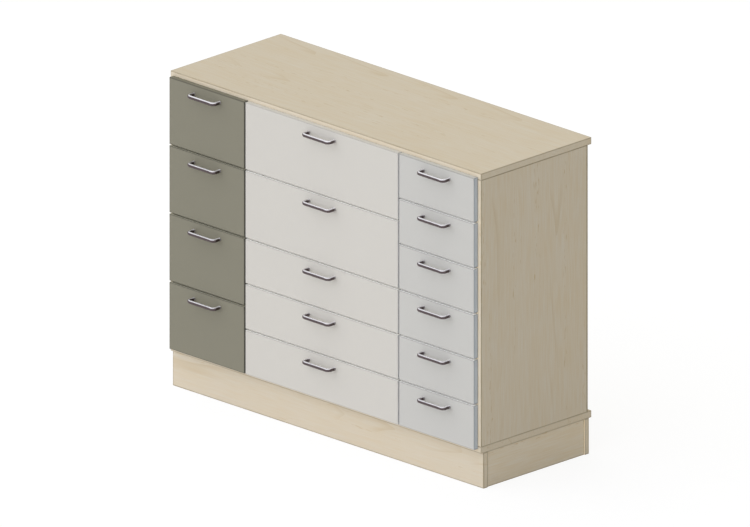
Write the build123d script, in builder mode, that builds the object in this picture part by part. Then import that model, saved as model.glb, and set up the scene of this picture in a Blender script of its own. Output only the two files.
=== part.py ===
from build123d import *
from functools import cache
import os

os.makedirs("parts", exist_ok=True)

# Sizes are in millimetres. X runs along the front, Y to the rear and Z up from the floor.
# The origin lies on the floor, in the middle of the chest's width and of its depth with the handles.

# Drawer columns: a drawer's height is a whole number of steps, listed from the top drawer down
system_step = 32
left_rows = [6, 6, 6, 6]
middle_rows = [6, 6, 4, 4, 4]
right_rows = [4, 4, 4, 4, 4, 4]
outer_bay_width = 266
middle_bay_width = 557

# Carcass
panel_thickness = 19
side_depth = 400
plate_rear_overhang = 14
plate_corner_radius = 2
panel_edge_radius = 1
back_thickness = 8
back_setback = 12
back_groove_depth = 8
back_groove_fit = 0.2

# Plinth
plinth_height = 100
plinth_board_thickness = 16
plinth_front_setback = 9
plinth_rear_setback = 10
plinth_end_inset = 3
plinth_edge_radius = 0.8

# Drawer fronts
front_thickness = 15
front_gap = 4
front_edge_radius = 1
closing_gap = 0.5

# Drawer boxes, whose pieces stand a hairline apart where they meet
box_board_thickness = 12
box_edge_radius = 1
box_foot_room = 22
box_head_room = 18
box_rear_room = 30
box_bottom_thickness = 5
box_bottom_lift = 10
box_groove_depth = 5
hairline = 0.1

# Bow handles
rod_diameter = 10
handle_hole_spacing = 96
handle_standoff = 24
handle_bend_radius = 10
handle_drop = 25.5

# Roller runners of folded sheet: a channel rail on the carcass and an angle profile on the drawer
runner_gap = 12.5
runner_sheet = 1.2
running_flange_width = 8.5
flange_play = 0.8
rail_front_setback = 2
rail_top_cutback = 45
roller_diameter = 19
roller_width = 7
roller_play = 0.3
front_roller_setback = 35
rear_roller_setback = 38
rivet_radius = 2.5
rivet_head_radius = 4
rivet_head_height = 1

# Screws
screw_fit = 0.1
rail_screw_radius = 2.5
rail_screw_head_radius = 4.5
rail_screw_head_height = 0.9
rail_screw_depth = 8.5
rail_screw_inset = 60
handle_screw_radius = 2
handle_screw_grip = 10
front_screw_radius = 2
front_screw_grip = 11
front_screw_inset = 45
box_screw_head_radius = 4
box_screw_head_height = 2.4

# Dowels
dowel_radius = 4
dowel_fit = 0.1
dowel_end_room = 0.5
dowel_spacing = 128
dowel_face_depth = 12
dowel_end_depth = 22
plinth_dowel_face_depth = 10
plinth_dowel_spacing = 50

# Heights
bottom_panel_top = plinth_height + panel_thickness
stack_floor = plinth_height + panel_thickness / 2
stack_ceiling = stack_floor + sum(left_rows) * system_step
top_panel_floor = stack_ceiling - panel_thickness / 2

# Widths
overall_width = 4 * panel_thickness + 2 * outer_bay_width + middle_bay_width
divider_x = (middle_bay_width + panel_thickness) / 2
side_x = divider_x + outer_bay_width + panel_thickness
outer_column_x = (divider_x + side_x) / 2
column_xs = [-outer_column_x, 0, outer_column_x]
upright_xs = [-side_x, -divider_x, divider_x, side_x]
front_overlay = (panel_thickness - front_gap) / 2

# Depths
plate_depth = side_depth + plate_rear_overhang
handle_reach = handle_standoff + rod_diameter / 2
overall_depth = handle_reach + front_thickness + closing_gap + plate_depth
plate_rear_y = overall_depth / 2
carcass_front_y = plate_rear_y - plate_depth
carcass_rear_y = carcass_front_y + side_depth
back_rear_y = carcass_rear_y - back_setback
back_front_y = back_rear_y - back_thickness
front_back_y = carcass_front_y - closing_gap
front_face_y = front_back_y - front_thickness

# Drawer boxes and runners, which are as long as each other
runner_length = back_front_y - box_rear_room - carcass_front_y
box_rear_y = front_back_y + runner_length
box_seat_y = front_back_y + box_board_thickness
rail_front_y = carcass_front_y + rail_front_setback
rail_rear_y = rail_front_y + runner_length
front_roller_y = rail_front_y + front_roller_setback
rear_roller_y = box_rear_y - rear_roller_setback
profile_width = hairline + runner_sheet
rail_width = runner_gap - profile_width - roller_play
flange_floor = runner_sheet + 2 * roller_play + roller_diameter
flange_top = flange_floor + runner_sheet
rail_height = flange_top + flange_play + runner_sheet
roller_z = runner_sheet + roller_play + roller_diameter / 2
rail_screw_ys = [rail_front_y + rail_screw_inset, rail_rear_y - rail_screw_inset]

# Plinth and dowels
plinth_front_y = carcass_front_y + plinth_front_setback
plinth_rear_y = plate_rear_y - plinth_rear_setback
plinth_inner_front_y = plinth_front_y + plinth_board_thickness
plinth_inner_rear_y = plinth_rear_y - plinth_board_thickness
plinth_front_middle_y = (plinth_front_y + plinth_inner_front_y) / 2
plinth_rear_middle_y = (plinth_rear_y + plinth_inner_rear_y) / 2
plinth_end_x = overall_width / 2 - plinth_end_inset - plinth_board_thickness / 2
plinth_cross_xs = [-plinth_end_x, -divider_x, divider_x, plinth_end_x]
plinth_dowel_zs = [(plinth_height + side * plinth_dowel_spacing) / 2 for side in (-1, 1)]
upright_middle_y = (carcass_front_y + carcass_rear_y) / 2
dowel_ys = [upright_middle_y + step * dowel_spacing for step in (-1, 0, 1)]
dowel_hole_radius = dowel_radius + dowel_fit

# Middles of the dowels where two boards meet
lower_joints = [(x, y, bottom_panel_top) for x in upright_xs for y in dowel_ys]
upper_joints = [(x, y, top_panel_floor) for x in upright_xs for y in dowel_ys]
plinth_middle_ys = [plinth_front_middle_y, plinth_rear_middle_y]
plinth_top_joints = [(x, y, plinth_height) for x in column_xs for y in plinth_middle_ys]
plinth_front_joints = [(x, plinth_inner_front_y, z) for x in plinth_cross_xs for z in plinth_dowel_zs]
plinth_rear_joints = [(x, plinth_inner_rear_y, z) for x in plinth_cross_xs for z in plinth_dowel_zs]

# Upright, face of it (1 is the right one) and drawers, for every wall that carries rails
rail_walls = [
    (-side_x, 1, left_rows),
    (-divider_x, -1, left_rows),
    (-divider_x, 1, middle_rows),
    (divider_x, -1, middle_rows),
    (divider_x, 1, right_rows),
    (side_x, -1, right_rows),
]

to_right = (1, 0, 0)
to_left = (-1, 0, 0)
to_rear = (0, 1, 0)
to_front = (0, -1, 0)
upwards = (0, 0, 1)
downwards = (0, 0, -1)


def block(x_limits, y_limits, z_limits, mode=Mode.ADD):
    """Adds or cuts a block between its limits along X, Y and Z, each pair in either order."""
    middle = [sum(limits) / 2 for limits in (x_limits, y_limits, z_limits)]
    sizes = [abs(limits[1] - limits[0]) for limits in (x_limits, y_limits, z_limits)]
    with Locations(tuple(middle)):
        Box(*sizes, mode=mode)


def rods(starts, direction, radius, length, mode=Mode.ADD):
    """Adds or cuts round rods that start at the given points and run along one direction."""
    with Locations(*[Plane(origin=start, z_dir=direction) for start in starts]):
        Cylinder(radius, length, align=(Align.CENTER, Align.CENTER, Align.MIN), mode=mode)


def finish(piece, label):
    """Names a finished piece and writes it to its own file."""
    piece.part.label = label
    export_step(piece.part, f"parts/{label}.step")


def place(kind, label, spot):
    """Writes a copy of a repeated piece, moved to its place and under its own name."""
    with BuildPart() as piece:
        with Locations(spot):
            add(kind.part)
    finish(piece, label)


def module_floors(rows):
    """Lower limits of the drawer modules in a column, from the top drawer down."""
    return [stack_ceiling - system_step * sum(rows[: number + 1]) for number in range(len(rows))]


def rail_floors(rows):
    """Lower limits of the channel rails in a column, from the top drawer down."""
    return [floor + box_foot_room for floor in module_floors(rows)]


def wall_screws(upright_x, side, rows):
    """Points where rail screws enter one face of an upright."""
    wall_x = upright_x + side * panel_thickness / 2
    return [(wall_x, y, z + rail_height / 2) for z in rail_floors(rows) for y in rail_screw_ys]


def cut_back_groove():
    """Cuts the groove that holds the back panel's edges."""
    groove_x = overall_width / 2 - panel_thickness + back_groove_depth
    block(
        (-groove_x, groove_x),
        (back_front_y - back_groove_fit, back_rear_y + back_groove_fit),
        (bottom_panel_top - back_groove_depth, top_panel_floor + back_groove_depth),
        mode=Mode.SUBTRACT,
    )


def make_plate(floor_z, upright_joints, plinth_joints):
    """A top or bottom panel with rounded corners and edges, bored where other boards meet it."""
    with BuildPart() as plate:
        with BuildSketch(Plane.XY.offset(floor_z)):
            with Locations((0, plate_rear_y - plate_depth / 2)):
                RectangleRounded(overall_width, plate_depth, plate_corner_radius)
        extrude(amount=panel_thickness)
        broad_faces = plate.faces().sort_by(Axis.Z)
        fillet(broad_faces[0].edges() + broad_faces[-1].edges(), radius=panel_edge_radius)
        cut_back_groove()
        with Locations(*upright_joints):
            Hole(dowel_hole_radius, depth=dowel_face_depth)
        if plinth_joints:
            with Locations(*plinth_joints):
                Hole(dowel_hole_radius, depth=plinth_dowel_face_depth)
    return plate


def make_upright(upright_x, rear_y):
    """A side panel or divider, with holes for dowels in its ends and rail screws in its faces."""
    half = panel_thickness / 2
    with BuildPart() as upright:
        x_limits = (upright_x - half, upright_x + half)
        block(x_limits, (carcass_front_y, rear_y), (bottom_panel_top, top_panel_floor))
        fillet(upright.edges().filter_by(Axis.Z), radius=panel_edge_radius)
        cut_back_groove()
        with Locations(*[joint for joint in lower_joints + upper_joints if joint[0] == upright_x]):
            Hole(dowel_hole_radius, depth=dowel_end_depth)
        for wall in rail_walls:
            if wall[0] == upright_x:
                into_wall = to_left if wall[1] == 1 else to_right
                hole_radius = rail_screw_radius + screw_fit
                hole_depth = rail_screw_depth + screw_fit
                rods(wall_screws(*wall), into_wall, hole_radius, hole_depth, Mode.SUBTRACT)
    return upright


def make_long_plinth_board(outer_y, inner_y, joints, outwards):
    """The plinth's front or rear board, which covers the ends of the boards between them."""
    with BuildPart() as board:
        block((-overall_width / 2, overall_width / 2), (outer_y, inner_y), (0, plinth_height))
        fillet(board.edges().filter_by(Axis.Z), radius=plinth_edge_radius)
        with Locations(*[(x, (outer_y + inner_y) / 2, plinth_height) for x in column_xs]):
            Hole(dowel_hole_radius, depth=dowel_end_depth)
        rods(joints, outwards, dowel_hole_radius, plinth_dowel_face_depth, Mode.SUBTRACT)
    return board


def face_dowels(joints, direction, face_depth):
    """Dowels that run from holes in a board's face into the ends or edges that meet it."""
    starts = [Vector(*joint) - Vector(*direction) * (face_depth - dowel_end_room) for joint in joints]
    rods(starts, direction, dowel_radius, face_depth + dowel_end_depth - 2 * dowel_end_room)


def riveted_roller(root_x, sheet_x, y, z):
    """A roller beside a sheet's face, on a rivet that starts at root_x and points to the right."""
    roller_x = sheet_x + roller_play
    head_x = roller_x + roller_width + roller_play
    rods([(roller_x, y, z)], to_right, roller_diameter / 2, roller_width)
    rods([(root_x, y, z)], to_right, rivet_radius + screw_fit, head_x - root_x, Mode.SUBTRACT)
    rods([(root_x, y, z)], to_right, rivet_radius, head_x - root_x)
    rods([(head_x, y, z)], to_right, rivet_head_radius, rivet_head_height)


def handle_feet(height):
    """Middles of a handle's feet, on the front of a drawer module of this height."""
    foot_z = height - front_gap / 2 - handle_drop
    return [(side * handle_hole_spacing / 2, front_face_y, foot_z) for side in (-1, 1)]


def front_fixings(bay_width, height):
    """Points where a box's two screws enter the back of its front."""
    reach = bay_width / 2 - runner_gap - front_screw_inset
    return [(side * reach, front_back_y, height / 2) for side in (-1, 1)]


def box_screws(entries, radius, length):
    """Screws from inside a drawer box, through its inner front and in line with the given points."""
    seats = [(x, box_seat_y + hairline, z) for x, y, z in entries]
    rods(seats, to_front, radius, length + hairline)
    rods(seats, to_rear, box_screw_head_radius, box_screw_head_height)


@cache
def make_drawer_front(bay_width, height):
    """A drawer front with rounded edges, bored for its handle and for the screws of its box."""
    half = bay_width / 2 + front_overlay
    with BuildPart() as front:
        block((-half, half), (front_face_y, front_back_y), (front_gap / 2, height - front_gap / 2))
        fillet(front.edges(), radius=front_edge_radius)
        hole_radius = handle_screw_radius + screw_fit
        rods(handle_feet(height), to_rear, hole_radius, front_thickness, Mode.SUBTRACT)
        hole_radius = front_screw_radius + screw_fit
        rods(front_fixings(bay_width, height), to_front, hole_radius, front_screw_grip, Mode.SUBTRACT)
    return front


@cache
def make_handle(height):
    """A bow handle bent from round rod, with the two screws that hold it."""
    feet = handle_feet(height)
    left_x, foot_y, foot_z = feet[0]
    right_x = feet[1][0]
    bar_y = foot_y - handle_standoff
    with BuildPart() as handle:
        with BuildLine(Plane.XY.offset(foot_z)) as bow:
            points = [(left_x, foot_y), (left_x, bar_y), (right_x, bar_y), (right_x, foot_y)]
            FilletPolyline(*points, radius=handle_bend_radius)
        with BuildSketch(Plane(origin=bow.line @ 0, z_dir=bow.line % 0)):
            Circle(rod_diameter / 2)
        sweep(path=bow.line)
        bore_radius = handle_screw_radius + screw_fit
        rods(feet, to_front, bore_radius, handle_screw_grip + screw_fit, Mode.SUBTRACT)
        box_screws(feet, handle_screw_radius, box_board_thickness + front_thickness + handle_screw_grip)
    return handle


@cache
def make_drawer_box(bay_width, height):
    """A drawer box of five boards, with its runner profiles and the screws of its front."""
    outer_x = bay_width / 2 - runner_gap
    inner_x = outer_x - box_board_thickness
    end_x = inner_x - hairline
    end_inner_y = box_rear_y - box_board_thickness
    z_limits = (box_foot_room, height - box_head_room)
    bottom_z = box_foot_room + box_bottom_lift
    groove_x = inner_x + box_groove_depth
    groove_ys = (box_seat_y - box_groove_depth, end_inner_y + box_groove_depth)
    with BuildPart() as box:
        block((-outer_x, -inner_x), (front_back_y, box_rear_y), z_limits)
        block((inner_x, outer_x), (front_back_y, box_rear_y), z_limits)
        block((-end_x, end_x), (front_back_y, box_seat_y), z_limits)
        block((-end_x, end_x), (end_inner_y, box_rear_y), z_limits)
        fillet(box.faces().filter_by(Axis.Z).group_by(Axis.Z)[-1].edges(), radius=box_edge_radius)
        groove_zs = (bottom_z - hairline, bottom_z + box_bottom_thickness + hairline)
        block((-groove_x, groove_x), groove_ys, groove_zs, mode=Mode.SUBTRACT)
        block(
            (hairline - groove_x, groove_x - hairline),
            (groove_ys[0] + hairline, groove_ys[1] - hairline),
            (bottom_z, bottom_z + box_bottom_thickness),
        )
        holes = [(x, front_back_y, z) for x, y, z in handle_feet(height)]
        rods(holes, to_rear, handle_screw_radius + screw_fit, box_board_thickness, Mode.SUBTRACT)
        holes = front_fixings(bay_width, height)
        rods(holes, to_rear, front_screw_radius + screw_fit, box_board_thickness, Mode.SUBTRACT)
        box_screws(holes, front_screw_radius, box_board_thickness + front_screw_grip - screw_fit)
        with Locations((outer_x, 0, box_foot_room)):
            add(right_profile.part)
        with Locations((-outer_x, 0, box_foot_room)):
            add(left_profile.part)
    return box


# Carcass
finish(make_plate(top_panel_floor, upper_joints, []), "top_panel")
finish(make_plate(plinth_height, lower_joints, plinth_top_joints), "bottom_panel")
finish(make_upright(-side_x, carcass_rear_y), "left_side_panel")
finish(make_upright(-divider_x, back_front_y), "left_divider")
finish(make_upright(divider_x, back_front_y), "right_divider")
finish(make_upright(side_x, carcass_rear_y), "right_side_panel")

with BuildPart() as back_panel:
    back_reach = back_groove_depth - back_groove_fit
    back_x = overall_width / 2 - panel_thickness + back_reach
    back_zs = (bottom_panel_top - back_reach, top_panel_floor + back_reach)
    block((-back_x, back_x), (back_front_y, back_rear_y), back_zs)
finish(back_panel, "back_panel")

# Plinth
front_board = make_long_plinth_board(plinth_front_y, plinth_inner_front_y, plinth_front_joints, to_front)
finish(front_board, "plinth_front_board")
rear_board = make_long_plinth_board(plinth_rear_y, plinth_inner_rear_y, plinth_rear_joints, to_rear)
finish(rear_board, "plinth_rear_board")

with BuildPart() as cross_boards:
    for cross_x in plinth_cross_xs:
        half_board = plinth_board_thickness / 2
        cross_xs = (cross_x - half_board, cross_x + half_board)
        block(cross_xs, (plinth_inner_front_y, plinth_inner_rear_y), (0, plinth_height))
    rods(plinth_front_joints, to_rear, dowel_hole_radius, dowel_end_depth, Mode.SUBTRACT)
    rods(plinth_rear_joints, to_front, dowel_hole_radius, dowel_end_depth, Mode.SUBTRACT)
finish(cross_boards, "plinth_cross_boards")

# Dowels, from each board's face into the boards whose ends or edges meet it
with BuildPart() as dowels:
    face_dowels(lower_joints, upwards, dowel_face_depth)
    face_dowels(upper_joints, downwards, dowel_face_depth)
    face_dowels(plinth_top_joints, downwards, plinth_dowel_face_depth)
    face_dowels(plinth_front_joints, to_rear, plinth_dowel_face_depth)
    face_dowels(plinth_rear_joints, to_front, plinth_dowel_face_depth)
finish(dowels, "dowels")

# A channel rail with its front roller, on a wall at X = 0 to its left, and its mirror image
with BuildPart() as left_wall_rail:
    rail_ys = (rail_front_y, rail_rear_y)
    block((0, runner_sheet), rail_ys, (0, rail_height))
    block((0, rail_width), rail_ys, (0, runner_sheet))
    upper_flange_ys = (rail_front_y + rail_top_cutback, rail_rear_y)
    block((0, rail_width), upper_flange_ys, (rail_height - runner_sheet, rail_height))
    screw_holes = [(0, y, rail_height / 2) for y in rail_screw_ys]
    rods(screw_holes, to_right, rail_screw_radius + screw_fit, runner_sheet, Mode.SUBTRACT)
    riveted_roller(0, runner_sheet, front_roller_y, roller_z)

with BuildPart() as right_wall_rail:
    mirror(left_wall_rail.part, about=Plane.YZ)

with BuildPart() as rail_screws:
    for wall in rail_walls:
        out_of_wall = to_right if wall[1] == 1 else to_left
        into_wall = to_left if wall[1] == 1 else to_right
        entries = wall_screws(*wall)
        seats = [(x + wall[1] * runner_sheet, y, z) for x, y, z in entries]
        rods(seats, into_wall, rail_screw_radius, runner_sheet + rail_screw_depth)
        rods(seats, out_of_wall, rail_screw_head_radius, rail_screw_head_height)
finish(rail_screws, "rail_screws")

# A drawer's angle profile with its rear roller, right of a side board's face at X = 0, and its mirror image
with BuildPart() as right_profile:
    profile_ys = (front_back_y, box_rear_y)
    block((hairline, profile_width), profile_ys, (-profile_width, flange_top))
    block((-box_board_thickness, profile_width), profile_ys, (-profile_width, -hairline))
    flange_xs = (hairline, profile_width + running_flange_width)
    block(flange_xs, profile_ys, (flange_floor, flange_top))
    riveted_roller(hairline, profile_width, rear_roller_y, roller_z)

with BuildPart() as left_profile:
    mirror(right_profile.part, about=Plane.YZ)

# Rails and drawers, column by column
columns = [
    ("left", -outer_column_x, outer_bay_width, left_rows),
    ("middle", 0, middle_bay_width, middle_rows),
    ("right", outer_column_x, outer_bay_width, right_rows),
]
for column, column_x, bay_width, rows in columns:
    with BuildPart() as rails:
        with Locations(*[(column_x - bay_width / 2, 0, z) for z in rail_floors(rows)]):
            add(left_wall_rail.part)
        with Locations(*[(column_x + bay_width / 2, 0, z) for z in rail_floors(rows)]):
            add(right_wall_rail.part)
    finish(rails, f"{column}_column_rails")
    for number, (steps, floor_z) in enumerate(zip(rows, module_floors(rows)), start=1):
        drawer = f"{column}_drawer_{number}"
        spot = (column_x, 0, floor_z)
        place(make_drawer_front(bay_width, steps * system_step), f"{drawer}_front", spot)
        place(make_drawer_box(bay_width, steps * system_step), f"{drawer}_box", spot)
        place(make_handle(steps * system_step), f"{drawer}_handle", spot)
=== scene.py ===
"""The looks of a three-column chest of drawers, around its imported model.

Everything is in metres: X to the right along the front, Y to the rear and Z up from the floor.
"""

import math

import bmesh
import bpy
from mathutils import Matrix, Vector


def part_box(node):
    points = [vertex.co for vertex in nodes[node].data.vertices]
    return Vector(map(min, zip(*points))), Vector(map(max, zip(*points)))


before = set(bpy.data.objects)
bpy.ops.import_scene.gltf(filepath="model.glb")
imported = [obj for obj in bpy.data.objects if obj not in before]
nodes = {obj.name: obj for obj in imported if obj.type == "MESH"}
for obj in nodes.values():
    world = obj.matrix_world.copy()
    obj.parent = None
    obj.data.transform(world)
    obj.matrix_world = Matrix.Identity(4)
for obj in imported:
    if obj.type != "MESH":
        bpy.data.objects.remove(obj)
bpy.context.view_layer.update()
MM = 0.001

# Finishes, as linear colours
MAPLE_LIGHT = (0.661, 0.592, 0.472)
MAPLE_WARM = (0.641, 0.536, 0.375)
MAPLE_FLECK = (0.520, 0.380, 0.190)
MAPLE_LINE = (0.330, 0.270, 0.170)
FRONT_COLOURS = {
    "left": (0.243, 0.227, 0.167),
    "middle": (0.645, 0.613, 0.546),
    "right": (0.580, 0.564, 0.517),
}
# Painted light: the fronts' edges inside the gaps, lighter than the faces against the shade there
GAP_EDGE_PAINTED_LIGHT = {
    "left": (0.450, 0.430, 0.330),
    "middle": (0.980, 0.962, 0.910),
    "right": (0.970, 0.960, 0.925),
}
END_EDGE_COLOURS = {
    "left": (0.100, 0.100, 0.080),
    "middle": (0.600, 0.600, 0.590),
    "right": (0.496, 0.537, 0.568),
}
TOP_EDGE_COLOURS = {
    "left": (0.202, 0.191, 0.140),
    "middle": (0.635, 0.608, 0.547),
    "right": (0.576, 0.565, 0.520),
}
BIRCH_LIGHT = (0.690, 0.590, 0.430)
BIRCH_WARM = (0.600, 0.485, 0.320)
BIRCH_FLECK = (0.420, 0.300, 0.170)
PLY_LINE = (0.330, 0.210, 0.110)
# The handles' painted highlight colour and painted shade colour
STEEL_PAINTED_LIGHT = (0.850, 0.830, 0.860)
STEEL_PAINTED_SHADE = (0.110, 0.085, 0.088)
ZINC = (0.560, 0.570, 0.580)
RUNNER_ENAMEL = (0.640, 0.640, 0.620)
RUNNER_WORN = (0.470, 0.470, 0.460)
NYLON = (0.780, 0.770, 0.740)
BEECH = (0.520, 0.360, 0.220)

# How strongly the boards' surfaces reflect
MAPLE_SHEEN = 0.15
LAMINATE_SHEEN = 0.2
BIRCH_SHEEN = 0.3

# Depth of each finish's relief
WOOD_RELIEF = 0.04 * MM
LAMINATE_RELIEF = 0.03 * MM
METAL_RELIEF = 0.01 * MM

# The span that a noise's values mostly lie in
NOISE_SPAN = (0.3, 0.7)

# What each maple board has of its own; the boards' order shifts the grain from one to the next
# Forward faces take painted light against the shade of the drawers before and above them
SIDE_PANEL = {"grain": "z", "tone": 0.977, "front_painted_light": 1.41, "contrast": 1.15, "line": 1.5}
DIVIDER = {"grain": "z", "front_painted_light": 1.1}
MAPLE_BOARDS = {
    "top_panel": {"grain": "x", "front_painted_light": 1.17, "contrast": 0.8},
    "bottom_panel": {"grain": "x", "front_painted_light": 1.15, "line": 0.7},
    "left_side_panel": SIDE_PANEL,
    "left_divider": DIVIDER,
    "right_divider": DIVIDER,
    "right_side_panel": SIDE_PANEL,
    "back_panel": {"grain": "x"},
    # The plinth boards' tone is raised as painted light against the shade under the drawers and
    # near the floor
    "plinth_front_board": {
        "grain": "x",
        "tone": 1.05,
        "front_painted_light": 1.065,
        "contrast": 0.7,
        "front_line": 1.2,
        "line": 1.3,
    },
    "plinth_rear_board": {"grain": "x", "tone": 1.05, "front_painted_light": 1.8, "front_line": 0.0},
    "plinth_cross_boards": {"grain": "y", "tone": 1.12, "contrast": 1.05},
}
GRAIN_TURNS = {"x": (0, 0, 0), "y": (0, 0, math.radians(-90)), "z": (0, math.radians(-90), 0)}
GRAIN_SHIFT = (3.1, 1.709)
# The normal's Y on a face that looks forward, and on one that doesn't
FORWARD = (-0.95, -0.6)

# Lines along the boards' arrises, on upright boards wider at the rear and thinner at the ends
ARRIS_WIDTH = 3.0 * MM
ARRIS_SHADE = 0.62
ARRIS_RUB = (0.85, 1.1)
ARRIS_RUB_CELLS = 14.0
UPRIGHT_LINE_SHIFTS = (Vector((0, 0, -1.2 * MM)), Vector((0, -3 * MM, 1.2 * MM)))

# Lines along the drawer fronts' arrises, their gain near the top and their share on the edges
FRONT_ARRIS_WIDTH = 3.2 * MM
FRONT_ARRIS_SHADES = {"left": 0.31, "middle": 0.13, "right": 0.18}
TOP_LINE_GAIN = 1.65
TOP_LINE_REACH = (8 * MM, 6 * MM)
GAP_LINE = 0.1
END_LINES = {"left": 1.0, "middle": 1.0, "right": 1.5}
# How far a face has to turn to a direction to take that edge's tone
EDGE_TURN = (0.5, 0.9)

# The grain's noises: cells per metre along, across and through the board, then detail and roughness
GRAIN_NOISES = {
    "band": ((1.5, 15.0, 15.0), 2.0, 0.5),
    "curl": ((15.0, 8.0, 8.0), 1.0, 0.5),
    "fibre": ((6.0, 110.0, 110.0), 2.0, 0.6),
    "hair": ((13.0, 280.0, 280.0), 1.0, 0.5),
    "pore": ((60.0, 1100.0, 1100.0), 2.0, 0.6),
    "spot": ((34.0, 290.0, 290.0), 1.0, 0.5),
    "strip": ((1.2, 40.0, 40.0), 1.0, 0.5),
    "figure": ((1.1, 6.0, 6.0), 1.0, 0.5),
}
GRAIN_SHARES = {"band": 0.5, "curl": 0.3, "fibre": 0.8, "hair": 1.5, "pore": 0.4}
GRAIN_ROUGHNESS = (0.50, 0.58)
BEND_STRETCH = (1.8, 6.0, 6.0)
BEND_REACH = 30 * MM
PEAK_SPACING = 110 * MM
PEAK_HALF_WIDTH = 28 * MM
PEAK_TIP = 3 * MM
PEAKS_ALONG = 4.4
PEAKS_ACROSS = 17.0
PEAKS_LOOSE = 6.0
PEAK_STAIN = 0.31
FLECK_STAIN = 0.70
# Where the rings, the figured parts, the flecks and the strips with flecks begin and are full
RING_SPAN = (0.72, 1.0)
FIGURE_SPAN = (0.42, 0.60)
SPOT_SPAN = (0.62, 0.70)
STRIP_SPAN = (0.58, 0.67)

# The laminate's noises: cells per metre, detail and roughness
LAMINATE_NOISES = {
    "cloud": (9.0, 2.0, 0.5),
    "speck": (420.0, 2.0, 0.6),
    "pore": (1500.0, 1.0, 0.5),
}
LAMINATE_CLOUD_SHARE = 0.6
LAMINATE_CLOUD_SPAN = (0.25, 0.75)
LAMINATE_PORE_SHARE = 0.5
LAMINATE_ROUGHNESS = (0.42, 0.50)

# The drawer boxes' birch, and the layers that its edges show
BIRCH_CONTRAST = 1.3
PLY_LAYER = 2.4 * MM
PLY_LINE_SHARE = 0.42
PLY_LINE_SHADE = 0.6
TOP_EDGE_DEPTH = 2 * MM
# The normal's Z from which a face looks up
UPWARD = 0.6

# Brushed metals: the scratches' cells per metre along X, Y and Z, and the finish over them
HANDLE_BRUSHING = (60.0, 900.0, 900.0)
RAIL_BRUSHING = (500.0, 14.0, 500.0)
PLAIN_BRUSHING = (180.0, 40.0, 700.0)
STEEL_ROUGHNESS = (0.20, 0.30)
ZINC_ROUGHNESS = 0.32
ENAMEL_ROUGHNESS = (0.32, 0.42)
ENAMEL_CELLS = 30.0
ENAMEL_WEAR_SPAN = (0.62, 0.75)
ENAMEL_WEAR = 0.5
PLAIN_CELLS = 35.0
PLAIN_CLOUD_SPAN = (0.35, 0.70)
PLAIN_BRUSHING_SHARE = 0.6
PLAIN_ROUGH_SPAN = (0.4, 1.2)
PLAIN_ROUGHENING = 0.15

# The handles' painted highlight and painted shade: the side the highlight faces, how much further
# it reaches on the right leg, and the dull feet
HIGHLIGHT_SIDE = (0.14, -0.38, 0.914)
HIGHLIGHT_SPAN = (0.84, 0.95)
HIGHLIGHT_CELLS = 60.0
HIGHLIGHT_UNEVENNESS = 0.06
RIGHT_LEG_HIGHLIGHT = 0.09
RIGHT_LEG_SPAN = (22 * MM, 6 * MM)
STEEL_METAL_SPAN = (0.5, 0.95)
STEEL_METAL = (1.0, 0.45)
FOOT_SPAN = (7 * MM, 2 * MM)
FOOT_METAL = 0.3
FOOT_PAINTED_LIGHT = 0.3

# Sizes of the drawers, boxes and runners that the finishes follow
ROW_STEPS = {"left": (6, 6, 6, 6), "middle": (6, 6, 4, 4, 4), "right": (4, 4, 4, 4, 4, 4)}
SYSTEM_STEP = 32 * MM
STACK_CEILING = 877.5 * MM
BAY_WIDTHS = {"left": 266 * MM, "middle": 557 * MM, "right": 266 * MM}
BOX_FOOT_ROOM = 22 * MM
BOX_BOARD = 12 * MM
SCREW_HEAD_HEIGHT = 2.4 * MM
SCREW_ROW_MARGIN = 5 * MM
SCREW_ROW_LIFT = 25 * MM
RUNNER_GAP = 12.5 * MM
PROFILE_WIDTH = 1.3 * MM
ROLLER_RADIUS = 9.5 * MM
ROLLER_WIDTH = 7 * MM
ROLLER_LIFT = 11 * MM
ROLLER_PLAY = 0.3 * MM
RAIL_SHEET = 1.2 * MM
FRONT_ROLLER_SETBACK = 35 * MM
REAR_ROLLER_SETBACK = 38 * MM
RIVET_HEAD_RADIUS = 4 * MM
HAIR = 0.05 * MM


# Building shader nodes


def make_node(tree, kind, sources=None, **settings):
    """Adds a node, sets its settings, and links or sets its inputs by name or number."""
    made = tree.nodes.new("ShaderNode" + kind)
    for name, value in settings.items():
        setattr(made, name, value)
    feed(tree, made, sources or {})
    return made


def feed(tree, node, sources):
    """Links sockets to a node's inputs, and sets the inputs that are given as values."""
    for name, source in sources.items():
        if isinstance(source, bpy.types.NodeSocket):
            tree.links.new(source, node.inputs[name])
        else:
            node.inputs[name].default_value = source


def number(tree, operation, *sources):
    """A Math node's result."""
    return make_node(tree, "Math", dict(enumerate(sources)), operation=operation).outputs[0]


def chain(tree, operation, first, *others):
    """Several numbers joined by one operation, such as the product of them all."""
    for other in others:
        first = number(tree, operation, first, other)
    return first


def vector(tree, operation, *sources):
    """A Vector Math node's vector."""
    return make_node(tree, "VectorMath", dict(enumerate(sources)), operation=operation).outputs[0]


def dot(tree, first, second):
    """The dot product of two vectors."""
    made = make_node(tree, "VectorMath", {0: first, 1: second}, operation="DOT_PRODUCT")
    return made.outputs["Value"]


def scaled(tree, source, gain):
    """A vector or colour times a number."""
    return make_node(tree, "VectorMath", {0: source, 3: gain}, operation="SCALE").outputs[0]


def axes(tree, source):
    """A vector's X, Y and Z."""
    return make_node(tree, "SeparateXYZ", {0: source}).outputs


def surface_normal(tree):
    """The direction in which the surface looks."""
    return make_node(tree, "NewGeometry").outputs["Normal"]


def blend(tree, factor, first, second):
    """A colour between two others."""
    return make_node(tree, "Mix", {0: factor, 6: first, 7: second}, data_type="RGBA").outputs[2]


def between(tree, factor, first, second):
    """A number between two others."""
    return make_node(tree, "Mix", {0: factor, 2: first, 3: second}, data_type="FLOAT").outputs[0]


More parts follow.
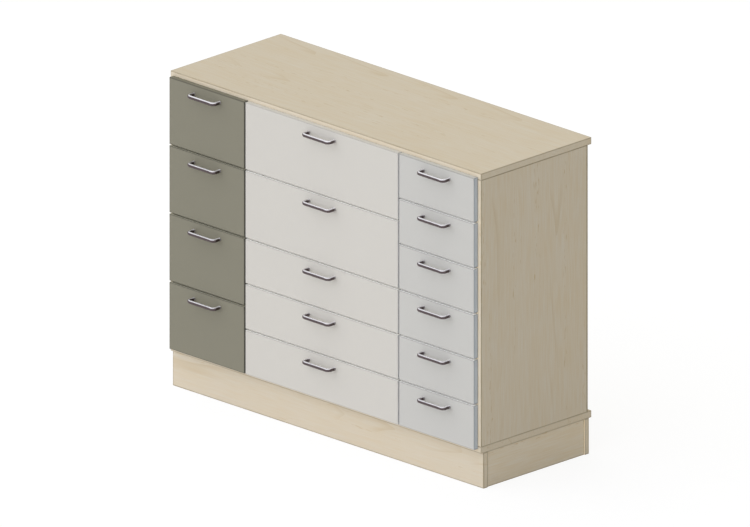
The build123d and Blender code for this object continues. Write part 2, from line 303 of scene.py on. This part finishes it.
def ramp(tree, value, low, high, from_value=0.0, to_value=1.0):
    """A value eased from one number to another while the source goes from low to high."""
    sources = {0: value, 1: low, 2: high, 3: from_value, 4: to_value}
    return make_node(tree, "MapRange", sources, interpolation_type="SMOOTHSTEP").outputs[0]


def noise(tree, position, scale, detail=2.0, roughness=0.5, stretch=None):
    """Noise from 0 to 1, with its coordinates stretched along the axes first."""
    if stretch is not None:
        position = vector(tree, "MULTIPLY", position, stretch)
    sources = {"Vector": position, "Scale": scale, "Detail": detail, "Roughness": roughness}
    return make_node(tree, "TexNoise", sources).outputs[0]


def brushing(tree, position, cells):
    """Fine scratches, from 0 to 1, with so many cells per metre along each axis."""
    return noise(tree, position, 1.0, detail=3.0, roughness=0.6, stretch=cells)


def make_group(name, inputs, outputs):
    """An empty node group with named sockets, and its input and output nodes."""
    tree = bpy.data.node_groups.new(name, "ShaderNodeTree")
    for socket, (kind, value) in inputs.items():
        made = tree.interface.new_socket(socket, in_out="INPUT", socket_type="NodeSocket" + kind)
        if value is not None:
            made.default_value = value
    for socket, kind in outputs.items():
        tree.interface.new_socket(socket, in_out="OUTPUT", socket_type="NodeSocket" + kind)
    return tree, tree.nodes.new("NodeGroupInput"), tree.nodes.new("NodeGroupOutput")


def use_group(tree, group, sources):
    """Places a node group in a material."""
    made = make_node(tree, "Group", node_tree=group)
    feed(tree, made, sources)
    return made.outputs


# Shared effects


def make_arris_group():
    """A line along the edges of a board between two corners: 1 on the edge, 0 a width away."""
    tree, given, result = make_group(
        "board_arris",
        {
            "Position": ("Vector", None),
            "Low": ("Vector", None),
            "High": ("Vector", None),
            "Width": ("Float", 0.002),
        },
        {"Mask": "Float"},
    )
    position, low, high, width = given.outputs[:4]
    from_low = vector(tree, "SUBTRACT", position, low)
    from_high = vector(tree, "SUBTRACT", high, position)
    nearest = axes(tree, vector(tree, "MINIMUM", from_low, from_high))
    smaller = number(tree, "MINIMUM", nearest[0], nearest[1])
    larger = number(tree, "MAXIMUM", nearest[0], nearest[1])
    second = number(tree, "MAXIMUM", smaller, number(tree, "MINIMUM", larger, nearest[2]))
    half = number(tree, "MULTIPLY", width, 0.5)
    tree.links.new(ramp(tree, second, half, width, 1.0, 0.0), result.inputs["Mask"])
    return tree


def make_within_group():
    """1 where a point lies between two corners, 0 elsewhere."""
    tree, given, result = make_group(
        "within_corners",
        {"Position": ("Vector", None), "Low": ("Vector", None), "High": ("Vector", None)},
        {"Mask": "Float"},
    )
    position, low, high = given.outputs[:3]
    above_low = vector(tree, "SUBTRACT", position, low)
    below_high = vector(tree, "SUBTRACT", high, position)
    rooms = [*axes(tree, above_low), *axes(tree, below_high)]
    inside = [number(tree, "GREATER_THAN", room, 0.0) for room in rooms]
    tree.links.new(chain(tree, "MULTIPLY", *inside), result.inputs["Mask"])
    return tree


def make_grain_group():
    """Quiet wood grain along X: bands, fine fibres, narrow nested peaks, and flecks in strips."""
    tree, given, result = make_group(
        "wood_grain",
        {
            "Position": ("Vector", None),
            "Light": ("Color", None),
            "Warm": ("Color", None),
            "Fleck": ("Color", None),
            "Contrast": ("Float", 1.0),
        },
        {"Color": "Color", "Height": "Float", "Roughness": "Float"},
    )
    position, light, warm, fleck, contrast = given.outputs[:5]
    bend = noise(tree, position, 1.0, detail=1.0, stretch=BEND_STRETCH)
    shift = make_node(tree, "CombineXYZ", {1: number(tree, "MULTIPLY", bend, BEND_REACH)})
    waved = vector(tree, "ADD", position, shift.outputs[0])
    waves = {}
    for name, (stretch, detail, roughness) in GRAIN_NOISES.items():
        waves[name] = noise(tree, waved, 1.0, detail, roughness, stretch)

    tone = 0.5
    for name, share in GRAIN_SHARES.items():
        swing = number(tree, "SUBTRACT", waves[name], 0.5)
        tone = number(tree, "ADD", tone, chain(tree, "MULTIPLY", swing, share, contrast))

    # Growth lines are nested peaks along strips of the board, where its face cuts a cone of rings
    parts = axes(tree, waved)
    across = number(tree, "PINGPONG", number(tree, "ADD", parts[1], parts[2]), PEAK_SPACING)
    squared = number(tree, "MULTIPLY", across, across)
    blunt = number(tree, "SQRT", number(tree, "ADD", squared, PEAK_TIP**2))
    rings = chain(
        tree,
        "ADD",
        number(tree, "MULTIPLY", parts[0], PEAKS_ALONG),
        number(tree, "MULTIPLY", waves["figure"], PEAKS_LOOSE),
        number(tree, "MULTIPLY", blunt, PEAKS_ACROSS),
    )
    near = ramp(tree, across, PEAK_HALF_WIDTH / 2, PEAK_HALF_WIDTH, 1.0, 0.0)
    figured = ramp(tree, waves["figure"], *FIGURE_SPAN)
    growth = ramp(tree, number(tree, "FRACT", rings), *RING_SPAN)
    peaks = chain(tree, "MULTIPLY", near, figured, growth, PEAK_STAIN)

    spots = ramp(tree, waves["spot"], *SPOT_SPAN)
    strips = ramp(tree, waves["strip"], *STRIP_SPAN)
    flecks = chain(tree, "MULTIPLY", spots, strips, FLECK_STAIN, contrast)
    stain = number(tree, "MAXIMUM", flecks, peaks)
    colour = blend(tree, stain, blend(tree, tone, light, warm), fleck)
    height = number(tree, "SUBTRACT", number(tree, "ADD", waves["fibre"], waves["pore"]), stain)
    tree.links.new(colour, result.inputs["Color"])
    tree.links.new(height, result.inputs["Height"])
    tree.links.new(ramp(tree, tone, 0.0, 1.0, *GRAIN_ROUGHNESS), result.inputs["Roughness"])
    return tree


def make_laminate_group():
    """A plain matt laminate: a hair of mottle, a fine pressed texture and dulled patches."""
    tree, given, result = make_group(
        "plain_laminate",
        {"Position": ("Vector", None), "Color": ("Color", None), "Mottle": ("Float", 0.03)},
        {"Color": "Color", "Height": "Float", "Roughness": "Float"},
    )
    position, base, mottle = given.outputs[:3]
    cloud, speck, pore = (noise(tree, position, *cells) for cells in LAMINATE_NOISES.values())
    cloudy = number(tree, "MULTIPLY", cloud, LAMINATE_CLOUD_SHARE)
    mean = (LAMINATE_CLOUD_SHARE + 1) / 2
    tone = number(tree, "SUBTRACT", number(tree, "ADD", cloudy, speck), mean)
    gain = number(tree, "ADD", 1.0, number(tree, "MULTIPLY", tone, mottle))
    height = number(tree, "ADD", speck, number(tree, "MULTIPLY", pore, LAMINATE_PORE_SHARE))
    roughness = ramp(tree, cloud, *LAMINATE_CLOUD_SPAN, *LAMINATE_ROUGHNESS)
    tree.links.new(scaled(tree, base, gain), result.inputs["Color"])
    tree.links.new(height, result.inputs["Height"])
    tree.links.new(roughness, result.inputs["Roughness"])
    return tree


arris_group = make_arris_group()
within_group = make_within_group()
grain_group = make_grain_group()
laminate_group = make_laminate_group()


# Materials


def start_material(name):
    """A new material with a Principled surface, its tree and the point's own position."""
    material = bpy.data.materials.new(name)
    material.use_nodes = True
    tree = material.node_tree
    surface = tree.nodes["Principled BSDF"]
    position = make_node(tree, "TexCoord").outputs["Object"]
    return material, tree, surface, position


def finish_surface(tree, surface, colour, roughness, height, depth, metallic=None):
    """Feeds the surface with a colour, a roughness and a fine relief, whose depth is in metres."""
    tree.links.new(colour, surface.inputs["Base Color"])
    tree.links.new(roughness, surface.inputs["Roughness"])
    if metallic is not None:
        tree.links.new(metallic, surface.inputs["Metallic"])
    bump = make_node(tree, "Bump", {"Strength": 0.5, "Distance": depth, "Height": height})
    tree.links.new(bump.outputs[0], surface.inputs["Normal"])


def arris_mask(tree, position, low, high, width):
    """The arris mask of a board between two corners."""
    sources = {"Position": position, "Low": low, "High": high, "Width": width}
    return use_group(tree, arris_group, sources)["Mask"]


def within(tree, position, low, high):
    """The mask of a block between two corners."""
    sources = {"Position": position, "Low": low, "High": high}
    return use_group(tree, within_group, sources)["Mask"]


def radius_mask(tree, position, centre, radius):
    """1 within a radius of a line that runs along X through a centre."""
    offset = vector(tree, "MULTIPLY", vector(tree, "SUBTRACT", position, centre), (0, 1, 1))
    distance = make_node(tree, "VectorMath", {0: offset}, operation="LENGTH").outputs["Value"]
    return number(tree, "LESS_THAN", distance, radius)


def maple_board(
    name, place, grain, tone=1.0, front_painted_light=1.0, contrast=1.0, front_line=1.0, line=1.0
):
    """Maple laminate on a board, grained along an axis, with a darker line along each arris.

    The front's painted light and line are those of the faces that look forward; the painted light
    lightens them against the shade of the drawers before and above them.
    """
    material, tree, surface, position = start_material("maple_" + name)
    placing = {
        "Vector": position,
        "Location": (place * GRAIN_SHIFT[0], place * GRAIN_SHIFT[1], 0),
        "Rotation": GRAIN_TURNS[grain],
    }
    turned = make_node(tree, "Mapping", placing).outputs[0]
    tones = {"Light": MAPLE_LIGHT + (1,), "Warm": MAPLE_WARM + (1,), "Fleck": MAPLE_FLECK + (1,)}
    grained = use_group(tree, grain_group, {"Position": turned, "Contrast": contrast, **tones})
    forward = axes(tree, surface_normal(tree))[1]
    # Painted light on the forward faces, against the shade of the drawers before and above them
    gain = ramp(tree, forward, *FORWARD, front_painted_light, tone)
    colour = scaled(tree, grained["Color"], gain)

    # The edge bands leave a darker line on each arris, rubbed a little unevenly
    low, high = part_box(name)
    if grain == "z":
        low, high = low + UPRIGHT_LINE_SHIFTS[0], high + UPRIGHT_LINE_SHIFTS[1]
    mask = arris_mask(tree, position, low, high, ARRIS_WIDTH)
    shades = [ARRIS_SHADE * rub for rub in ARRIS_RUB]
    shade = ramp(tree, noise(tree, position, ARRIS_RUB_CELLS), *NOISE_SPAN, *shades)
    strength = ramp(tree, forward, *FORWARD, front_line, line)
    lined = chain(tree, "MULTIPLY", shade, strength, mask)
    colour = blend(tree, lined, colour, MAPLE_LINE + (1,))
    finish_surface(tree, surface, colour, grained["Roughness"], grained["Height"], WOOD_RELIEF)
    surface.inputs["Specular IOR Level"].default_value = MAPLE_SHEEN
    return material


def drawer_laminate(node, column, row):
    """Plain laminate on a drawer front, with banded edges, painted light on the edges inside the
    gaps, and a darker line along each arris.
    """
    material, tree, surface, position = start_material("laminate_" + node)
    low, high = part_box(node)
    face_tone = FRONT_COLOURS[column]
    gap_painted_light = GAP_EDGE_PAINTED_LIGHT[column]
    is_last = row == len(ROW_STEPS[column])

    # Each edge's direction, its tone and its share of the line; the edges inside the gaps take
    # painted light against their shade
    top_edge = ((0, 0, 1), gap_painted_light, GAP_LINE)
    if row == 1:
        top_edge = ((0, 0, 1), TOP_EDGE_COLOURS[column], 1.0)
    edges = [
        top_edge,
        ((0, 0, -1), face_tone if is_last else gap_painted_light, GAP_LINE),
        ((-1, 0, 0), face_tone if column == "left" else gap_painted_light, GAP_LINE),
        ((1, 0, 0), END_EDGE_COLOURS[column], END_LINES[column]),
    ]
    normal = surface_normal(tree)
    base = face_tone + (1,)
    near_top = [high.z - reach for reach in TOP_LINE_REACH]
    line = ramp(tree, axes(tree, position)[2], *near_top, 1.0, TOP_LINE_GAIN)
    for direction, tone, share in edges:
        facing = ramp(tree, dot(tree, normal, direction), *EDGE_TURN)
        base = blend(tree, facing, base, tone + (1,))
        line = between(tree, facing, line, share)

    plain = use_group(tree, laminate_group, {"Position": position, "Color": base})
    mask = arris_mask(tree, position, low, high, FRONT_ARRIS_WIDTH)
    shade = chain(tree, "MULTIPLY", mask, line, FRONT_ARRIS_SHADES[column])
    colour = scaled(tree, plain["Color"], number(tree, "SUBTRACT", 1.0, shade))
    finish_surface(tree, surface, colour, plain["Roughness"], plain["Height"], LAMINATE_RELIEF)
    surface.inputs["Specular IOR Level"].default_value = LAMINATE_SHEEN
    return material


def box_wood(node, column):
    """Birch ply on a drawer box, with its layers on the upper edges, its runners and screws."""
    material, tree, surface, position = start_material("box_" + node)
    low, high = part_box(node)
    middle_x = (low.x + high.x) / 2
    outer_x = BAY_WIDTHS[column] / 2 - RUNNER_GAP
    inner_x = outer_x - BOX_BOARD
    parts = axes(tree, position)
    across = number(tree, "ABSOLUTE", number(tree, "SUBTRACT", parts[0], middle_x))

    # The grain runs along each board: along Y on the sides, along X elsewhere
    on_sides = number(tree, "GREATER_THAN", across, inner_x)
    turned = make_node(tree, "Mapping", {"Vector": position, "Rotation": GRAIN_TURNS["y"]})
    places = {0: on_sides, 4: position, 5: turned.outputs[0]}
    placed = make_node(tree, "Mix", places, data_type="VECTOR").outputs[1]
    tones = {"Light": BIRCH_LIGHT + (1,), "Warm": BIRCH_WARM + (1,), "Fleck": BIRCH_FLECK + (1,)}
    graining = {"Position": placed, "Contrast": BIRCH_CONTRAST, **tones}
    grained = use_group(tree, grain_group, graining)

    # Layers of the ply, seen on the edges that face up
    upward = number(tree, "GREATER_THAN", axes(tree, surface_normal(tree))[2], UPWARD)
    on_top = number(tree, "GREATER_THAN", parts[2], high.z - TOP_EDGE_DEPTH)
    depth = between(tree, on_sides, parts[1], across)
    layers = number(tree, "FRACT", number(tree, "MULTIPLY", depth, 1 / PLY_LAYER))
    lines = number(tree, "LESS_THAN", layers, PLY_LINE_SHARE)
    lined = chain(tree, "MULTIPLY", lines, upward, on_top, PLY_LINE_SHADE)
    colour = blend(tree, lined, grained["Color"], PLY_LINE + (1,))

    # The steel profile is outside and below the side boards, and its nylon roller beside it
    outside = number(tree, "GREATER_THAN", across, outer_x + HAIR)
    below = number(tree, "LESS_THAN", parts[2], low.z + PROFILE_WIDTH - HAIR)
    profile = number(tree, "MAXIMUM", outside, below)
    colour = blend(tree, profile, colour, RUNNER_ENAMEL + (1,))
    roller_at = (0, high.y - REAR_ROLLER_SETBACK, low.z + PROFILE_WIDTH + ROLLER_LIFT)
    roller_x = outer_x + PROFILE_WIDTH + ROLLER_PLAY
    beside = number(tree, "GREATER_THAN", across, roller_x - HAIR)
    round_roller = radius_mask(tree, position, roller_at, ROLLER_RADIUS + HAIR)
    roller = number(tree, "MULTIPLY", round_roller, beside)
    colour = blend(tree, roller, colour, NYLON + (1,))

    # The roller's rivet and the screws into the front are zinc
    beyond = number(tree, "GREATER_THAN", across, roller_x + ROLLER_WIDTH + HAIR)
    round_head = radius_mask(tree, position, roller_at, RIVET_HEAD_RADIUS + HAIR)
    head = number(tree, "MULTIPLY", round_head, beyond)
    seat = low.y + BOX_BOARD + HAIR
    reach = inner_x - SCREW_ROW_MARGIN
    screws_low = (middle_x - reach, seat, low.z + SCREW_ROW_LIFT)
    screws_high = (
        middle_x + reach,
        seat + SCREW_HEAD_HEIGHT + 2 * HAIR,
        high.z - SCREW_ROW_MARGIN,
    )
    metal = number(tree, "MAXIMUM", head, within(tree, position, screws_low, screws_high))
    colour = blend(tree, metal, colour, ZINC + (1,))
    roughness = between(tree, metal, grained["Roughness"], ZINC_ROUGHNESS)
    finish_surface(tree, surface, colour, roughness, grained["Height"], WOOD_RELIEF, metal)
    surface.inputs["Specular IOR Level"].default_value = BIRCH_SHEEN
    return material


def rail_enamel(node, column):
    """White enamel on a column's channel rails, with nylon rollers and zinc rivets."""
    material, tree, surface, position = start_material("enamel_" + node)
    low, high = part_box(node)
    middle_x = (low.x + high.x) / 2
    from_middle = number(tree, "SUBTRACT", axes(tree, position)[0], middle_x)
    across = number(tree, "ABSOLUTE", from_middle)
    from_wall = number(tree, "SUBTRACT", BAY_WIDTHS[column] / 2, across)
    rollers = []
    heads = []
    floor_z = STACK_CEILING
    for steps in ROW_STEPS[column]:
        floor_z -= steps * SYSTEM_STEP
        centre = (0, low.y + FRONT_ROLLER_SETBACK, floor_z + BOX_FOOT_ROOM + ROLLER_LIFT)
        rollers.append(radius_mask(tree, position, centre, ROLLER_RADIUS + HAIR))
        heads.append(radius_mask(tree, position, centre, RIVET_HEAD_RADIUS + HAIR))
    roller_x = RAIL_SHEET + ROLLER_PLAY
    beside = number(tree, "GREATER_THAN", from_wall, roller_x - HAIR)
    beyond = number(tree, "GREATER_THAN", from_wall, roller_x + ROLLER_WIDTH + HAIR)
    roller = number(tree, "MULTIPLY", chain(tree, "MAXIMUM", *rollers), beside)
    head = number(tree, "MULTIPLY", chain(tree, "MAXIMUM", *heads), beyond)
    brushed = brushing(tree, position, RAIL_BRUSHING)
    worn = number(tree, "MULTIPLY", ramp(tree, brushed, *ENAMEL_WEAR_SPAN), ENAMEL_WEAR)
    colour = blend(tree, worn, RUNNER_ENAMEL + (1,), RUNNER_WORN + (1,))
    colour = blend(tree, roller, colour, NYLON + (1,))
    colour = blend(tree, head, colour, ZINC + (1,))
    cloud = noise(tree, position, ENAMEL_CELLS)
    roughness = ramp(tree, cloud, *NOISE_SPAN, *ENAMEL_ROUGHNESS)
    finish_surface(tree, surface, colour, roughness, brushed, METAL_RELIEF, head)
    return material


def plain_finish(name, colour, roughness, scuffs, metallic):
    """A plain metal or wood finish with light scuffs."""
    material, tree, surface, position = start_material(name)
    brushed = brushing(tree, position, PLAIN_BRUSHING)
    cloud = noise(tree, position, PLAIN_CELLS)
    darker = tuple(part * (1 - scuffs) for part in colour) + (1,)
    shade = blend(tree, ramp(tree, cloud, *PLAIN_CLOUD_SPAN), colour + (1,), darker)
    mixed = number(tree, "ADD", number(tree, "MULTIPLY", brushed, PLAIN_BRUSHING_SHARE), cloud)
    rough = ramp(tree, mixed, *PLAIN_ROUGH_SPAN, roughness, roughness + PLAIN_ROUGHENING)
    surface.inputs["Metallic"].default_value = metallic
    finish_surface(tree, surface, shade, rough, brushed, METAL_RELIEF)
    return material


def handle_steel(column):
    """Steel rod with a painted highlight on its upper front and right leg and painted shade
    elsewhere, set by the way each face looks.
    """
    material, tree, surface, position = start_material("handle_steel_" + column)
    handle_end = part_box(column + "_drawer_1_handle")[1].x
    parts = axes(tree, position)
    brushed = brushing(tree, position, HANDLE_BRUSHING)
    swing = number(tree, "SUBTRACT", noise(tree, position, HIGHLIGHT_CELLS), 0.5)
    leg = [handle_end - reach for reach in RIGHT_LEG_SPAN]
    tilt = chain(
        tree,
        "ADD",
        dot(tree, surface_normal(tree), HIGHLIGHT_SIDE),
        number(tree, "MULTIPLY", swing, HIGHLIGHT_UNEVENNESS),
        ramp(tree, parts[0], *leg, 0.0, RIGHT_LEG_HIGHLIGHT),
    )
    # Painted highlight where a face turns to the highlight side, painted shade on the rest
    highlighted = ramp(tree, tilt, *HIGHLIGHT_SPAN)
    colour = blend(tree, highlighted, STEEL_PAINTED_SHADE + (1,), STEEL_PAINTED_LIGHT + (1,))

    # The handle's screws are zinc, behind the drawer's face
    behind = number(tree, "GREATER_THAN", parts[1], front_face_y)
    colour = blend(tree, behind, colour, ZINC + (1,))

    # Its feet are dull, so that they don't mirror the dark corner where they stand, and are
    # lightened with painted light against that corner's shade
    foot = ramp(tree, parts[1], *(front_face_y - reach for reach in FOOT_SPAN))
    colour = blend(tree, number(tree, "MULTIPLY", foot, FOOT_PAINTED_LIGHT), colour, STEEL_PAINTED_LIGHT + (1,))
    metallic = ramp(tree, tilt, *STEEL_METAL_SPAN, *STEEL_METAL)
    metallic = number(tree, "MULTIPLY", metallic, between(tree, foot, 1.0, FOOT_METAL))
    rough = ramp(tree, brushed, *NOISE_SPAN, *STEEL_ROUGHNESS)
    finish_surface(tree, surface, colour, rough, brushed, METAL_RELIEF, metallic)
    return material


def dress(node, material):
    """Gives a node of the model its material."""
    nodes[node].material_slots[0].material = material


for place, (board, finish) in enumerate(MAPLE_BOARDS.items()):
    dress(board, maple_board(board, place, **finish))

front_face_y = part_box("left_drawer_1_front")[0].y
for column, rows in ROW_STEPS.items():
    steel = handle_steel(column)
    for row in range(1, len(rows) + 1):
        drawer = f"{column}_drawer_{row}"
        dress(drawer + "_front", drawer_laminate(drawer + "_front", column, row))
        dress(drawer + "_box", box_wood(drawer + "_box", column))
        dress(drawer + "_handle", steel)
    rails = column + "_column_rails"
    dress(rails, rail_enamel(rails, column))
zinc_finish = plain_finish("zinc_screws", ZINC, roughness=0.3, scuffs=0.12, metallic=1.0)
beech_finish = plain_finish("dowel_beech", BEECH, roughness=0.6, scuffs=0.2, metallic=0.0)
dress("rail_screws", zinc_finish)
dress("dowels", beech_finish)


# Floor, light and camera

SKY_LEVEL = 0.82
SKY_SLOPE = (-0.55, -0.52, 0.14)
DARKEST_SKY = 0.05
COOL_SIDE = (0, -1, 0)
COOL_SPAN = (-0.2, 0.9)
WARM_LIGHT = (1.0, 0.988, 0.91)
COOL_LIGHT = (0.985, 1.018, 1.14)
WHITE = (1, 1, 1, 1)
FLOOR_HALF_SIZE = 30
FLOOR_ALBEDO = 0.88
FLOOR_SHADOW_SHARE = 0.20
FLOOR_WHITE = 1.07
CAMERA_AZIMUTH = math.radians(45)
CAMERA_ELEVATION = math.asin(1 / 3)
CAMERA_TARGET = Vector((-0.0874, 0.0871, 0.400))
CAMERA_DISTANCE = 8
CAMERA_REACH = 50
VIEW_WIDTH = 1.9883


def seen_directly(tree):
    """1 for rays from the camera and for rays that a mirror-like or clear surface sends on."""
    path = make_node(tree, "LightPath").outputs
    rays = ("Is Camera Ray", "Is Glossy Ray", "Is Transmission Ray")
    return chain(tree, "MAXIMUM", *(path[ray] for ray in rays))


def make_floor():
    """A wide white floor that keeps a faint shadow."""
    mesh = bpy.data.meshes.new("floor")
    made = bmesh.new()
    bmesh.ops.create_grid(made, x_segments=1, y_segments=1, size=FLOOR_HALF_SIZE)
    made.to_mesh(mesh)
    made.free()
    floor = bpy.data.objects.new("floor", mesh)
    bpy.context.scene.collection.objects.link(floor)
    material = bpy.data.materials.new("floor_white")
    material.use_nodes = True
    tree = material.node_tree
    tree.nodes.clear()
    plain = make_node(tree, "BsdfDiffuse", {"Color": (FLOOR_ALBEDO,) * 3 + (1,)})
    glow = make_node(tree, "Emission", {"Color": WHITE, "Strength": FLOOR_WHITE})
    share = number(tree, "MULTIPLY", seen_directly(tree), 1 - FLOOR_SHADOW_SHARE)
    mixed = make_node(tree, "MixShader", {0: share, 1: plain.outputs[0], 2: glow.outputs[0]})
    output = make_node(tree, "OutputMaterial", {"Surface": mixed.outputs[0]})
    output.is_active_output = True
    mesh.materials.append(material)


def make_world():
    """Soft light from all round, brightest from the front left, and white where it is seen."""
    world = bpy.data.worlds.new("studio")
    bpy.context.scene.world = world
    world.use_nodes = True
    tree = world.node_tree
    heading = make_node(tree, "TexCoord").outputs["Generated"]
    level = number(tree, "ADD", dot(tree, heading, SKY_SLOPE), SKY_LEVEL)
    level = number(tree, "MAXIMUM", level, DARKEST_SKY)
    cool = ramp(tree, dot(tree, heading, COOL_SIDE), *COOL_SPAN)
    tint = blend(tree, cool, WARM_LIGHT + (1,), COOL_LIGHT + (1,))
    seen = seen_directly(tree)
    background = tree.nodes["Background"]
    tree.links.new(blend(tree, seen, tint, WHITE), background.inputs["Color"])
    tree.links.new(between(tree, seen, level, 1.0), background.inputs["Strength"])


def make_camera():
    """A parallel view from the front right, at the photograph's angle and scale."""
    lens = bpy.data.cameras.new("camera")
    lens.type = "ORTHO"
    lens.ortho_scale = VIEW_WIDTH
    lens.clip_end = CAMERA_REACH
    camera = bpy.data.objects.new("camera", lens)
    bpy.context.scene.collection.objects.link(camera)
    back = Vector(
        (
            math.sin(CAMERA_AZIMUTH) * math.cos(CAMERA_ELEVATION),
            -math.cos(CAMERA_AZIMUTH) * math.cos(CAMERA_ELEVATION),
            math.sin(CAMERA_ELEVATION),
        )
    )
    camera.location = CAMERA_TARGET + CAMERA_DISTANCE * back
    camera.rotation_euler = back.to_track_quat("Z", "Y").to_euler()
    bpy.context.scene.camera = camera


make_floor()
make_world()
make_camera()
bpy.context.scene.view_settings.view_transform = "Standard"
